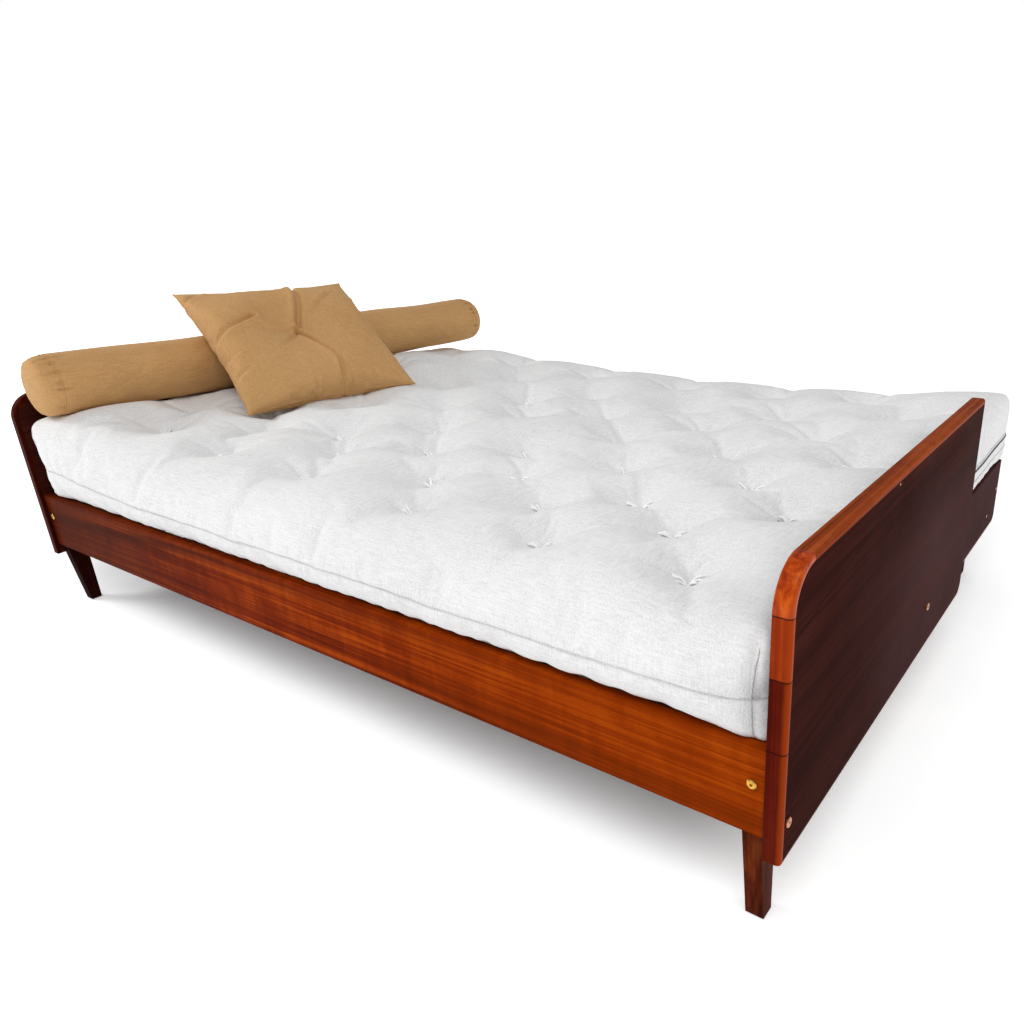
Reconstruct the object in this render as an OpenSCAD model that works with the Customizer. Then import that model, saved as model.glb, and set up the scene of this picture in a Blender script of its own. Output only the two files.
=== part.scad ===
// Extending daybed: a fixed frame between two lipped end boards, and a rear frame
// on its own legs that slides out from inside them on interleaved slats.
// +X runs to the foot end, -Y to the front rail, +Z up. The origin is on the floor,
// below the middle of the whole bed. Millimetres.

/* [End boards] */
// Length of the bed over its two end boards
bed_len = 1980; // [1750:10:2100]
// Thickness of each end board
board_t = 25; // [18:1:32]
// Height of the end boards' bottom edge above the floor
board_z = 135; // [110:1:155]
// Height of the end boards' top above the floor
board_top = 536; // [500:1:600]
// Depth of an end board behind the front rail's face
board_d = 888; // [860:1:900]
// Outer radius of the board's top front corner
corner_r = 58; // [40:1:80]
// Radius of the board's bottom rear corner
heel_r = 24; // [10:1:40]

/* [Solid wood lipping] */
// Thickness of the lipping, which stands proud of the front rail by as much
lip_t = 9; // [8:0.5:12]
// Rounding of the lipping's outer edge
lip_round_out = 6; // [3:0.5:7]
// Rounding of the lipping's inner edge
lip_round_in = 2.5; // [1:0.5:5]
// Height of the joint between the lower and the middle length
lip_joint_low = 300; // [250:1:330]
// Height of the joint between the middle and the upper length
lip_joint_mid = 398; // [360:1:430]

/* [Front rail and legs] */
// Height of the rail's bottom edge
rail_z = 160; // [140:1:175]
// Height of the rail's top edge
rail_top = 290; // [270:1:320]
// Thickness of the front rail
rail_t = 20; // [18:1:24]
// Thickness of a leg along the bed
leg_t = 27; // [22:1:29]
// Front to back width of a leg at the floor
leg_toe = 24; // [18:1:30]
// Distance from the end board's outer face to a front leg
leg_inset = 31; // [27:1:33]
// How far a front leg's toe stands back from the rail's face
leg_setback = 23; // [10:1:30]
// Thickness of the nylon glides under the legs
glide_h = 2; // [1:0.5:4]

/* [Sliding rear frame] */
// Distance that the rear frame slides in from its extended position
travel = 412; // [300:1:412]
// Rear edge of the rear frame behind the front rail's face
ext_rear = 1350; // [1345:1:1355]
// Length of the rear frame's side boards
ext_side_len = 780; // [775:1:800]
// Thickness of the rear frame's side boards
ext_side_t = 18; // [15:1:20]
// Gap between an end board and the side board that slides inside it
ext_gap = 2.5; // [1.5:0.5:4]
// Inset of the rear and middle legs from the end board's outer face
inner_leg_inset = 69; // [66:1:90]

/* [Slats] */
// Width of a slat
slat_w = 72; // [60:1:74]
// Thickness of a slat
slat_t = 15.5; // [12:0.5:18]

/* [Mattress and cushions] */
// Gap between the mattress and the head board
head_gap = 28; // [4:1:60]
// Front to back depth of the mattress
mattress_d = 1377; // [1340:1:1400]
// Height of the mattress's top above the floor
mattress_top = 464; // [420:1:480]
// Length of the bolster over its rounded ends
bolster_len = 1464; // [1440:2:1480]
// Radius of the bolster
bolster_r = 78; // [60:1:85]
// Side of the square pillow
pillow_w = 480; // [440:10:500]
// Thickness of the pillow at its middle
pillow_t = 96; // [80:1:110]
// Lean of the pillow from flat, in degrees
pillow_tilt = 32; // [28:1:36]

/* [Hidden] */
$fn = 64;

foot = 1;
head = -1;
oak = "#c79a63";
mahogany = "#a4531c";
lip_red = "#8e3410";
board_brown = "#3a211c";
leg_brown = "#5c2716";
brass = "#c9a24b";

// Places along the bed, measured from its middle
out_x = bed_len / 2;
in_x = out_x - board_t;
side_x = in_x - ext_gap - ext_side_t;
inner_leg_x = out_x - inner_leg_inset - leg_t;

// The rail's front face, from the middle of the bed's depth: the bolster's ends
// and the lipping's front are the bed's outermost points
face_y = lip_t - bolster_len / 2;

// The board's core inside its lipping
core_top = board_top - lip_t;
core_r = corner_r - lip_t;
corner_z = core_top - core_r;

// The bearer that carries the main slats, and its tongues through the side boards
bearer_t = 22;
bearer_y = 617;
bearer_z = 200;
bearer_front = bearer_y - bearer_t / 2;
bearer_back = bearer_y + bearer_t / 2;
tongue_z = 203;
tongue_h = 32;
tongue_mid = tongue_z + tongue_h / 2;
slot_play = 1.5;
side_play = 2.5;

// Slats on each frame, and their levels: the two sets pass each other half a millimetre apart
slat_n = 10;
main_slat_z = rail_top - slat_t;
ext_slat_z = main_slat_z - 0.5;
ext_top = rail_top - 0.5;
notch_h = 1;
ledger_t = 22;
ledger_h = 42;
main_slat_end = 900;
slat_span = 2 * (side_x - 4);
slat_pitch = slat_span / slat_n;

// Rear frame stations behind the rail's face
ext_front = ext_rear - ext_side_len;
ext_board_z = board_z - 2;
rear_rail_t = 18;
rear_rail_y = ext_rear - 30;
ext_ledger_y = rear_rail_y - ledger_t;
ext_bearer_y = ext_front + 2;
rear_leg_w = 60;
rear_leg_y = ext_ledger_y - rear_leg_w - 1;
block_t = side_x - inner_leg_x - leg_t;

// Fasteners
bolt_r = 3;
bolt_head_r = 7;
bolt_head_h = 2.5;
bore_r = 3.1;
rail_bolt_x = out_x - leg_inset - leg_t / 2;
rail_bolt_z = 237;
board_bolt_low = [11, 191];
board_bolt_mid = [bearer_y, tongue_mid];
lip_pin_at = [359, core_top - 3.5];
lip_pin_r = 1.9;
lip_pin_len = 12;
screw_r = 2;
screw_head_r = 4;
screw_head_h = 2.5;
screw_sunk = 0.4;
slat_screw_len = 34;
side_screws = [[1329, 221], [1252, 174]];

soft_gap = 0.3;
foot_gap = 2;
mattress_len = 2 * in_x - foot_gap - head_gap;
mattress_x = in_x - foot_gap - mattress_len / 2;
mattress_y = 8;
bolster_x = -(in_x - foot_gap - bolster_r);
bolster_z = mattress_top + soft_gap + bolster_r;

// The pillow's lower edge stands on the mattress, and its back leans on the bolster
pillow_rim_t = 8;
pillow_yaw = -11.4;
pillow_y = 573;
pillow_z = mattress_top + 6.8 + sin(pillow_tilt) * pillow_w / 2;
pillow_lean = bolster_r + 12.4 + pillow_t / 2;
pillow_x = bolster_x + (pillow_lean - (pillow_z - bolster_z) * cos(pillow_tilt)) / sin(pillow_tilt);

// Distances behind the rail's face become places in the bed's own frame
module placed() { translate([0, face_y, 0]) children(); }

// Drawn for the foot end, mirrored for the head end
module at_end(side) { placed() mirror([side < 0 ? 1 : 0, 0, 0]) children(); }

// A plate across the bed's width, from an outline whose axes are Y and Z
module plate(x, t) { translate([x, 0, 0]) rotate([90, 0, 90]) linear_extrude(t) children(); }

// A round hole or rod along X or Y from a point
module rod_x(p, r, len) { translate(p) rotate([0, 90, 0]) cylinder(r = r, h = len); }
module rod_y(p, r, len) { translate(p) rotate([-90, 0, 0]) cylinder(r = r, h = len); }

// Takes the square corner off an outline whose corner is at the given point
module corner_off(p, r, turn) {
    translate(p) rotate(turn) difference() {
        translate([-1, -1]) square(r + 1);
        translate([r, r]) circle(r);
    }
}

module core_outline() {
    difference() {
        union() {
            translate([0, board_z]) square([board_d, corner_z - board_z]);
            translate([core_r, corner_z - 1]) square([board_d - core_r, core_r + 1]);
            translate([core_r, corner_z]) circle(core_r);
        }
        corner_off([board_d, board_z], heel_r, 90);
    }
}

module end_board(side) {
    color(board_brown) at_end(side) difference() {
        plate(in_x, board_t) core_outline();
        rod_x([in_x - 1, board_bolt_low[0], board_bolt_low[1]], bore_r, board_t + 2);
        rod_x([in_x - 1, board_bolt_mid[0], board_bolt_mid[1]], bore_r, board_t + 2);
        rod_x([out_x - lip_pin_len, lip_pin_at[0], lip_pin_at[1]], lip_pin_r + 0.1, lip_pin_len + 1);
    }
}

// Across the board's thickness and outward from its core
module lip_profile() {
    intersection() {
        square([board_t, lip_t]);
        union() {
            square([board_t, lip_t - lip_round_out]);
            square([board_t - lip_round_out, lip_t - lip_round_in]);
            translate([lip_round_in, 0]) square([board_t - lip_round_in - lip_round_out, lip_t]);
            translate([lip_round_in, lip_t - lip_round_in]) circle(lip_round_in);
            translate([board_t - lip_round_out, lip_t - lip_round_out]) circle(lip_round_out);
        }
    }
}

module lip_upright(side, z0, z1) {
    color(lip_red) at_end(side) translate([in_x, 0, z0])
        linear_extrude(z1 - z0) mirror([0, 1]) lip_profile();
}

module lip_corner(side) {
    color(lip_red) at_end(side) translate([in_x, core_r, corner_z])
        rotate([90, 0, 90]) rotate([0, 0, 90]) rotate_extrude(angle = 90)
            translate([core_r, 0]) mirror([1, -1, 0]) lip_profile();
}

module lip_top(side) {
    color(lip_red) at_end(side) translate([in_x, board_d, core_top])
        rotate([90, 0, 0]) linear_extrude(board_d - core_r) lip_profile();
}

module front_rail() {
    edge_r = 3;
    color(mahogany) placed() difference() {
        translate([-in_x, 0, 0]) rotate([90, 0, 90]) linear_extrude(2 * in_x) {
            translate([0, rail_z]) square([rail_t, rail_top - rail_z - edge_r]);
            translate([edge_r, rail_z]) square([rail_t - edge_r, rail_top - rail_z]);
            translate([edge_r, rail_top - edge_r]) circle(edge_r);
        }
        for (side = [foot, head]) {
            rod_y([side * rail_bolt_x, -1, rail_bolt_z], bore_r, rail_t + 2);
            mirror([side < 0 ? 1 : 0, 0, 0])
                rod_x([in_x - 60, board_bolt_low[0], board_bolt_low[1]], bore_r, 61);
        }
    }
}

module front_ledger() {
    half = out_x - leg_inset - leg_t - 2;
    color(oak) placed() difference() {
        translate([-half, rail_t, main_slat_z - ledger_h]) cube([2 * half, ledger_t, ledger_h]);
        slat_screw_holes(0, rail_t + ledger_t / 2);
    }
}

// Carries the main slats; its top is notched where the rear frame's slats pass
module cross_bearer() {
    half = side_x - side_play;
    color(oak) placed() difference() {
        union() {
            translate([-half, bearer_front, bearer_z])
                cube([2 * half, bearer_t, main_slat_z - bearer_z]);
            translate([-in_x, bearer_front, tongue_z]) cube([2 * in_x, bearer_t, tongue_h]);
        }
        for (i = [0 : slat_n - 1])
            translate([slat_x(1, i) - slat_w / 2 - 3, bearer_front - 1, main_slat_z - notch_h])
                cube([slat_w + 6, bearer_t + 2, notch_h + 1]);
        for (side = [foot, head])
            mirror([side < 0 ? 1 : 0, 0, 0])
                rod_x([in_x - 45, board_bolt_mid[0], board_bolt_mid[1]], bore_r, 46);
        slat_screw_holes(0, bearer_y);
    }
}

// The leg passes up behind the rail, and tapers on its front below it
module front_leg(side) {
    back = leg_setback + leg_toe;
    color(leg_brown) at_end(side) difference() {
        plate(out_x - leg_inset - leg_t, leg_t) polygon([
            [leg_setback, glide_h], [back, glide_h], [back, rail_top - 2],
            [rail_t, rail_top - 2], [rail_t, rail_z - 0.8], [4, rail_z - 0.8]
        ]);
        rod_y([rail_bolt_x, rail_t - 1, rail_bolt_z], bore_r, back - rail_t + 2);
    }
}

module middle_leg(side) {
    color(leg_brown) at_end(side) plate(inner_leg_x, leg_t) polygon([
        [bearer_y - leg_toe / 2, glide_h], [bearer_y + leg_toe / 2, glide_h],
        [bearer_y + 21, bearer_z], [bearer_y - 21, bearer_z]
    ]);
}

// The middle of slat i of the main frame (set 0) or the rear frame (set 1)
function slat_x(set, i) = -slat_span / 2 + slat_pitch * (i + 0.25 + set / 2);

module slat_screw_holes(set, y) {
    level = set == 0 ? main_slat_z : ext_slat_z;
    depth = slat_screw_len - slat_t + 1;
    for (i = [0 : slat_n - 1])
        translate([slat_x(set, i), y, level - depth])
            cylinder(r = screw_r + 0.1, h = depth + 1, $fn = 32);
}

// A countersunk head, and with some play the seat cut for it
module screw_head(play, h) {
    flare = (screw_head_r - screw_r) / screw_head_h;
    cylinder(r1 = screw_r + play, r2 = screw_r + play + flare * h, h = h, $fn = 32);
}

// A slat with a countersunk screw hole over each of its two supports
module slat(set, i, y0, y1, level, screws) {
    color(oak) placed() difference() {
        translate([slat_x(set, i) - slat_w / 2, y0, level]) cube([slat_w, y1 - y0, slat_t]);
        for (y = screws) translate([slat_x(set, i), y, level]) {
            translate([0, 0, -1]) cylinder(r = screw_r + 0.1, h = slat_t + 2, $fn = 32);
            translate([0, 0, slat_t - screw_sunk - screw_head_h])
                screw_head(0.1, screw_head_h + 2 * screw_sunk);
        }
    }
}

module main_slat(i) {
    slat(0, i - 1, rail_t + 0.5, main_slat_end, main_slat_z, [rail_t + ledger_t / 2, bearer_y]);
}

module extension_slat(i) {
    slat(1, i - 1, ext_bearer_y + 1, rear_rail_y - 0.5, ext_slat_z,
        [ext_bearer_y + bearer_t / 2, ext_ledger_y + ledger_t / 2]);
}

module slat_screws(set, level, rows) {
    color(brass) placed() for (i = [0 : slat_n - 1], y = rows)
        translate([slat_x(set, i), y, level + slat_t - screw_sunk]) {
            translate([0, 0, -slat_screw_len]) cylinder(r = screw_r, h = slat_screw_len - 1, $fn = 32);
            translate([0, 0, -screw_head_h]) screw_head(0, screw_head_h);
        }
}

// A flat-headed bolt along +X from its head's seat, with a hexagon socket
module bolt(len) {
    difference() {
        union() {
            cylinder(r = bolt_head_r, h = bolt_head_h - 1);
            translate([0, 0, bolt_head_h - 1]) cylinder(r1 = bolt_head_r, r2 = bolt_head_r - 1.2, h = 1);
            translate([0, 0, -len]) cylinder(r = bolt_r, h = len + 0.5);
        }
        translate([0, 0, 0.6]) cylinder(r = 2.6, h = 3, $fn = 6);
    }
}

module board_bolts() {
    color(brass) for (side = [foot, head], at = [board_bolt_low, board_bolt_mid])
        at_end(side) translate([out_x, at[0], at[1]]) rotate([0, 90, 0]) bolt(board_t + 40);
}

module rail_bolts() {
    color(brass) placed() for (side = [foot, head])
        translate([side * rail_bolt_x, 0, rail_bolt_z]) rotate([90, 0, 0])
            bolt(leg_setback + leg_toe - 3);
}

module lip_pins() {
    color(brass) for (side = [foot, head])
        at_end(side) rod_x([out_x - lip_pin_len, lip_pin_at[0], lip_pin_at[1]],
            lip_pin_r, lip_pin_len + 0.8);
}

module glide(x, y) { translate([x, y, 0]) cylinder(r = 8, h = glide_h); }

module main_glides() {
    color("#d8d4c8") for (side = [foot, head]) at_end(side) {
        glide(out_x - leg_inset - leg_t / 2, leg_setback + leg_toe / 2);
        glide(inner_leg_x + leg_t / 2, bearer_y);
    }
}

// Slides inside the end board; the bearer's tongue runs in its slot and stops it
module extension_side(side) {
    slot_front = bearer_front - slot_play;
    slot_end = bearer_back + travel + 1.5;
    color(board_brown) at_end(side) difference() {
        plate(side_x, ext_side_t) difference() {
            translate([ext_front, ext_board_z]) square([ext_side_len, ext_top - ext_board_z]);
            translate([slot_front, tongue_z - slot_play])
                square([slot_end - slot_front, tongue_h + 2 * slot_play]);
            corner_off([ext_rear, ext_board_z], 20, 90);
        }
        for (at = side_screws)
            rod_x([side_x - 1, at[0], at[1]], screw_r + 0.1, ext_side_t + 2);
    }
}

module extension_rear_rail() {
    color(mahogany) placed() difference() {
        translate([-side_x, rear_rail_y, rail_z]) cube([2 * side_x, rear_rail_t, ext_top - rail_z]);
        for (side = [foot, head]) mirror([side < 0 ? 1 : 0, 0, 0])
            rod_x([side_x - 30, side_screws[0][0], side_screws[0][1]], screw_r + 0.1, 31);
    }
}

module extension_ledger() {
    color(oak) placed() difference() {
        translate([-side_x, ext_ledger_y, ext_slat_z - ledger_h])
            cube([2 * side_x, ledger_t, ledger_h]);
        slat_screw_holes(1, ext_ledger_y + ledger_t / 2);
    }
}

module extension_bearer() {
    color(oak) placed() difference() {
        translate([-side_x, ext_bearer_y, ext_slat_z - ledger_h])
            cube([2 * side_x, bearer_t, ledger_h]);
        slat_screw_holes(1, ext_bearer_y + bearer_t / 2);
    }
}

module leg_block(side) {
    color(oak) at_end(side) difference() {
        translate([side_x - block_t, rear_leg_y, ext_board_z + 17])
            cube([block_t, rear_leg_w, ext_slat_z - ext_board_z - 20]);
        rod_x([side_x - 20, side_screws[1][0], side_screws[1][1]], screw_r + 0.1, 21);
    }
}

// Tapers on its front, with an upright back
module rear_leg(side) {
    back = rear_leg_y + rear_leg_w;
    color(leg_brown) at_end(side) plate(inner_leg_x, leg_t) polygon([
        [back - leg_toe, glide_h], [back, glide_h], [back, ext_slat_z - 4],
        [rear_leg_y, ext_slat_z - 4], [rear_leg_y, rail_z]
    ]);
}

module extension_screws() {
    color(brass) for (side = [foot, head], at = side_screws)
        at_end(side) translate([0, at[0], at[1]]) {
            rod_x([side_x - 18, 0, 0], screw_r, ext_side_t + 18.4);
            rod_x([side_x + ext_side_t, 0, 0], screw_head_r, 1.2);
        }
}

module extension_glides() {
    color("#d8d4c8") for (side = [foot, head]) at_end(side)
        glide(inner_leg_x + leg_t / 2, rear_leg_y + rear_leg_w - leg_toe / 2);
}

module mattress() {
    r = 45;
    color("#e4e4e2") placed()
        translate([mattress_x - mattress_len / 2, mattress_y, rail_top])
            linear_extrude(mattress_top - rail_top) {
                translate([r, 0]) square([mattress_len - 2 * r, mattress_d]);
                translate([0, r]) square([mattress_len, mattress_d - 2 * r]);
                for (x = [r, mattress_len - r], y = [r, mattress_d - r])
                    translate([x, y]) circle(r);
            }
}

// Lies across the head end; each end is a domed cap
module bolster() {
    cap = 45;
    color("#b88a58") translate([bolster_x, -bolster_len / 2, bolster_z])
        rotate([-90, 0, 0]) rotate_extrude() intersection() {
            square([bolster_r, bolster_len]);
            union() {
                square([bolster_r - cap, bolster_len]);
                translate([0, cap]) square([bolster_r, bolster_len - 2 * cap]);
                for (y = [cap, bolster_len - cap]) translate([bolster_r - cap, y]) circle(cap);
            }
        }
}

// Leans on the bolster, with its lower edge on the mattress
module pillow() {
    core = pillow_w / 2;
    color("#c4965f") placed() translate([pillow_x, pillow_y, pillow_z])
        rotate([0, 0, pillow_yaw]) rotate([0, pillow_tilt, 0]) hull() {
            cube([pillow_w, pillow_w, pillow_rim_t], center = true);
            cube([core, core, pillow_t], center = true);
        }
}

end_board(foot);  // foot_board
lip_upright(foot, board_z, lip_joint_low);  // foot_lip_lower
lip_upright(foot, lip_joint_low, lip_joint_mid);  // foot_lip_middle
lip_upright(foot, lip_joint_mid, corner_z);  // foot_lip_upper
lip_corner(foot);  // foot_lip_corner
lip_top(foot);  // foot_lip_top
end_board(head);  // head_board
lip_upright(head, board_z, lip_joint_low);  // head_lip_lower
lip_upright(head, lip_joint_low, lip_joint_mid);  // head_lip_middle
lip_upright(head, lip_joint_mid, corner_z);  // head_lip_upper
lip_corner(head);  // head_lip_corner
lip_top(head);  // head_lip_top
front_rail();
front_ledger();
cross_bearer();
front_leg(foot);  // front_leg_foot
front_leg(head);  // front_leg_head
middle_leg(foot);  // middle_leg_foot
middle_leg(head);  // middle_leg_head
for (i = [1 : slat_n])
    main_slat(i);
board_bolts();
rail_bolts();
lip_pins();
slat_screws(0, main_slat_z, [rail_t + ledger_t / 2, bearer_y]);  // main_slat_screws
main_glides();
extension_side(foot);  // extension_side_foot
extension_side(head);  // extension_side_head
extension_rear_rail();
extension_ledger();
extension_bearer();
for (i = [1 : slat_n])
    extension_slat(i);
leg_block(foot);  // leg_block_foot
leg_block(head);  // leg_block_head
rear_leg(foot);  // rear_leg_foot
rear_leg(head);  // rear_leg_head
extension_screws();
slat_screws(1, ext_slat_z, [ext_bearer_y + bearer_t / 2, ext_ledger_y + ledger_t / 2]);  // extension_slat_screws
extension_glides();
mattress();
bolster();
pillow();
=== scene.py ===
import math

import bpy
import numpy as np
from mathutils import Matrix, Vector
from mathutils.bvhtree import BVHTree


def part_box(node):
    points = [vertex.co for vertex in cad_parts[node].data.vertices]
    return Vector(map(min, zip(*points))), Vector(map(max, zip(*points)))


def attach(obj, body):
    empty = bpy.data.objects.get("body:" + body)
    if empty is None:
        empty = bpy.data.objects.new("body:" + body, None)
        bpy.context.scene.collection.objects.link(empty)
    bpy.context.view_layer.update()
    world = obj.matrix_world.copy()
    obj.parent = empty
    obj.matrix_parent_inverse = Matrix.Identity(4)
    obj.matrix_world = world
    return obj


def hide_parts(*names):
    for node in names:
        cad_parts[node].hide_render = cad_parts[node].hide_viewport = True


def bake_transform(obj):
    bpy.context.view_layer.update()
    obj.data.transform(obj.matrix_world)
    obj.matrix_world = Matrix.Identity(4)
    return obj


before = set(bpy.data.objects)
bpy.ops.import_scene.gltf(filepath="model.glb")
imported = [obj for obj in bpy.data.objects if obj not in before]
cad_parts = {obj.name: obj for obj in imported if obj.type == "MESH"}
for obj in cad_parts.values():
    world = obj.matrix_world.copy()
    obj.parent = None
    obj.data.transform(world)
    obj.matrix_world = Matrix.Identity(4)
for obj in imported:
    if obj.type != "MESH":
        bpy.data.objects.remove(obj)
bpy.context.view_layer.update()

# Metres. +X runs to the foot end, -Y to the front rail, +Z up, as in the CAD.
FOOT_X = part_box("foot_board")[1].x
FACE_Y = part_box("front_rail")[0].y
SLAT_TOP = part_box("mattress")[0].z
BED, SLIDER = "main_frame", "rear_frame"
UPWARD, DOWNWARD = Vector((0, 0, 1)), Vector((0, 0, -1))
rng = np.random.default_rng(11)


def at(x_mm, y_mm):
    """A place measured from the foot board's outer face and the rail's face, in the row frame."""
    return FOOT_X + x_mm / 1000, FACE_Y + y_mm / 1000


# ---------------------------------------------------------------- meshes


def new_mesh(name, verts, faces, smooth=True):
    mesh = bpy.data.meshes.new(name)
    mesh.from_pydata([tuple(v) for v in verts], [], [list(f) for f in faces])
    mesh.validate()
    if smooth:
        mesh.shade_smooth()
    o = bpy.data.objects.new(name, mesh)
    bpy.context.scene.collection.objects.link(o)
    return o


def get_co(o):
    co = np.empty(len(o.data.vertices) * 3)
    o.data.vertices.foreach_get("co", co)
    return co.reshape(-1, 3)


def set_co(o, co):
    o.data.vertices.foreach_set("co", np.asarray(co, np.float32).ravel())
    o.data.update()


def apply_subdivision(o, levels=1):
    mod = o.modifiers.new("smooth", "SUBSURF")
    mod.levels = levels
    with bpy.context.temp_override(object=o, active_object=o, selected_objects=[o]):
        bpy.ops.object.modifier_apply(modifier=mod.name)
    o.data.shade_smooth()


def smoothstep(t):
    t = np.clip(t, 0, 1)
    return t * t * (3 - 2 * t)


def box_lattice(n):
    """The surface of a lattice of n cells: its points, in cells, and its quads."""
    nx, ny, nz = n
    ids, pts, faces = {}, [], []

    def vid(*key):
        if key not in ids:
            ids[key] = len(pts)
            pts.append(key)
        return ids[key]

    def quad(a, b, c, d):
        faces.append([vid(*a), vid(*b), vid(*c), vid(*d)])

    for i in range(nx):
        for j in range(ny):
            quad((i, j, nz), (i + 1, j, nz), (i + 1, j + 1, nz), (i, j + 1, nz))
            quad((i, j, 0), (i, j + 1, 0), (i + 1, j + 1, 0), (i + 1, j, 0))
        for k in range(nz):
            quad((i, 0, k), (i + 1, 0, k), (i + 1, 0, k + 1), (i, 0, k + 1))
            quad((i, ny, k), (i, ny, k + 1), (i + 1, ny, k + 1), (i + 1, ny, k))
    for j in range(ny):
        for k in range(nz):
            quad((0, j, k), (0, j, k + 1), (0, j + 1, k + 1), (0, j + 1, k))
            quad((nx, j, k), (nx, j + 1, k), (nx, j + 1, k + 1), (nx, j, k + 1))
    return np.array(pts, float), faces


def border(n):
    """The (i, j) places once round a lattice of n cells, back to the first."""
    out = [(i, 0) for i in range(n[0])] + [(n[0], j) for j in range(n[1])]
    return out + [(i, n[1]) for i in range(n[0], 0, -1)] + [(0, j) for j in range(n[1], -1, -1)]


def rounded(pts, n, lo, hi, radii):
    """Places lattice points on a box with rounded edges."""
    lo, hi, radii = (np.array(v, float) for v in (lo, hi, radii))
    p = lo + pts / np.array(n) * (hi - lo)
    q = np.clip(p, lo + radii, hi - radii)
    d = (p - q) / radii
    r = np.linalg.norm(d, axis=1)
    r[r == 0] = 1
    return q + d / r[:, None] * np.abs(d).max(axis=1)[:, None] * radii


def vertex_group(o, name, weights):
    g = o.vertex_groups.new(name=name)
    for w in sorted(set(weights.values())):
        g.add([v for v, x in weights.items() if x == w], w, "REPLACE")
    return name


def simulate(o, frames, pins, rest, pressure, grow, seam=None, seam_shrink=0.0, bending=0.15):
    """Blender's cloth on o, from its present shape, for fabric cut to the shape rest and grown by
    the share grow. Returns the points it ends at, and leaves no modifier."""
    start = get_co(o)
    pin = vertex_group(o, "pin", pins)
    o.shape_key_add(name="Basis")
    key = o.shape_key_add(name="rest")
    key.data.foreach_set("co", np.asarray(rest, np.float32).ravel())
    key.value = 0
    mod = o.modifiers.new("cloth", "CLOTH")
    s = mod.settings
    s.quality = 5
    s.tension_stiffness = s.compression_stiffness = 15
    s.bending_stiffness = bending
    s.use_pressure = True
    s.uniform_pressure_force = pressure
    s.vertex_group_mass = pin
    s.shrink_min = -grow
    s.effector_weights.gravity = 0
    if seam:
        s.vertex_group_shrink = vertex_group(o, "seam", seam)
        s.shrink_max = seam_shrink
    s.rest_shape_key = key
    mod.collision_settings.use_collision = False
    mod.point_cache.frame_start, mod.point_cache.frame_end = 1, frames
    for f in range(1, frames + 1):
        bpy.context.scene.frame_set(f)
    solved = o.evaluated_get(bpy.context.evaluated_depsgraph_get())
    mesh = solved.to_mesh()
    co = np.empty(len(mesh.vertices) * 3)
    mesh.vertices.foreach_get("co", co)
    solved.to_mesh_clear()
    o.modifiers.remove(mod)
    o.shape_key_clear()
    o.vertex_groups.clear()
    bpy.context.scene.frame_set(1)
    return co.reshape(-1, 3)


def capped(start, co, most):
    """co, with no point further than most from where it started."""
    d = co - start
    r = np.linalg.norm(d, axis=1)
    r[r == 0] = 1
    return start + d * np.minimum(1, most / r)[:, None]


def tube(name, lines, radius, sides=6, flat=1.0, normals=None):
    """A mesh tube along each polyline. A closed line repeats its first point, and the ends of an
    open one taper. flat is the tube's height over its width, measured along normals."""
    tip = 0.35
    verts, faces = [], []
    for n_line, line in enumerate(lines):
        p = np.array(line, float)
        closed = np.linalg.norm(p[0] - p[-1]) < 1e-9
        if closed:
            p = p[:-1]
            tangent = np.roll(p, -1, 0) - np.roll(p, 1, 0)
        else:
            tangent = np.gradient(p, axis=0)
        tangent /= np.linalg.norm(tangent, axis=1)[:, None] + 1e-12
        if normals is None:
            up = np.tile(UPWARD, (len(p), 1))
        else:
            up = np.array(normals[n_line])[: len(p)]
        side = np.cross(tangent, up)
        side /= np.linalg.norm(side, axis=1)[:, None] + 1e-9
        up = np.cross(side, tangent)
        base = len(verts)
        for m in range(len(p)):
            grow = radius if closed or 0 < m < len(p) - 1 else radius * tip
            for s in range(sides):
                a = 2 * math.pi * s / sides
                verts.append(p[m] + grow * (math.cos(a) * side[m] + flat * math.sin(a) * up[m]))
        rings = len(p) if closed else len(p) - 1
        for m in range(rings):
            for s in range(sides):
                a, b = base + m * sides, base + (m + 1) % len(p) * sides
                faces.append([a + s, a + (s + 1) % sides, b + (s + 1) % sides, b + s])
        if not closed:
            faces.append([base + s for s in range(sides)][::-1])
            faces.append([base + (len(p) - 1) * sides + s for s in range(sides)])
    return new_mesh(name, verts, faces)


def tree_of(o):
    corners = [v.co for v in o.data.vertices]
    return BVHTree.FromPolygons(corners, [p.vertices for p in o.data.polygons])


def on_surface(tree, points, lift):
    """The points moved onto the surface and out by lift, and the surface's normals there. A closed
    line stays closed."""
    out, normals = [], []
    for p in points:
        near, normal, _, _ = tree.find_nearest(Vector(p))
        out.append(near + normal * lift)
        normals.append(normal)
    if np.linalg.norm(np.array(points[0]) - np.array(points[-1])) < 1e-9:
        out[-1], normals[-1] = out[0], normals[0]
    return out, normals


def strand(base, a, length, rise, sag=0.42):
    """One thread end: it leaves the stitch in direction a, wobbles sideways and curls upward."""
    line = []
    wobble = rng.uniform(0.0, 0.0014)
    for s in np.linspace(0, 1, 8):
        side = math.sin(s * 3.4) * wobble
        x = math.cos(a) * length * s - math.sin(a) * side
        y = math.sin(a) * length * s + math.cos(a) * side
        line.append(base + Vector((x, y, rise * math.sin(s * 2.4) + length * s * sag)))
    return line


# ---------------------------------------------------------------- materials


ALONG_X, ALONG_Y, ALONG_Z = range(3)


def rgb(*channels):
    """A linear colour from 0 to 255 sRGB values."""
    parts = [c / 255 for c in channels]
    linear = [c / 12.92 if c < 0.0404 else ((c + 0.055) / 1.055) ** 2.4 for c in parts]
    return (*linear, 1.0)


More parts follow.
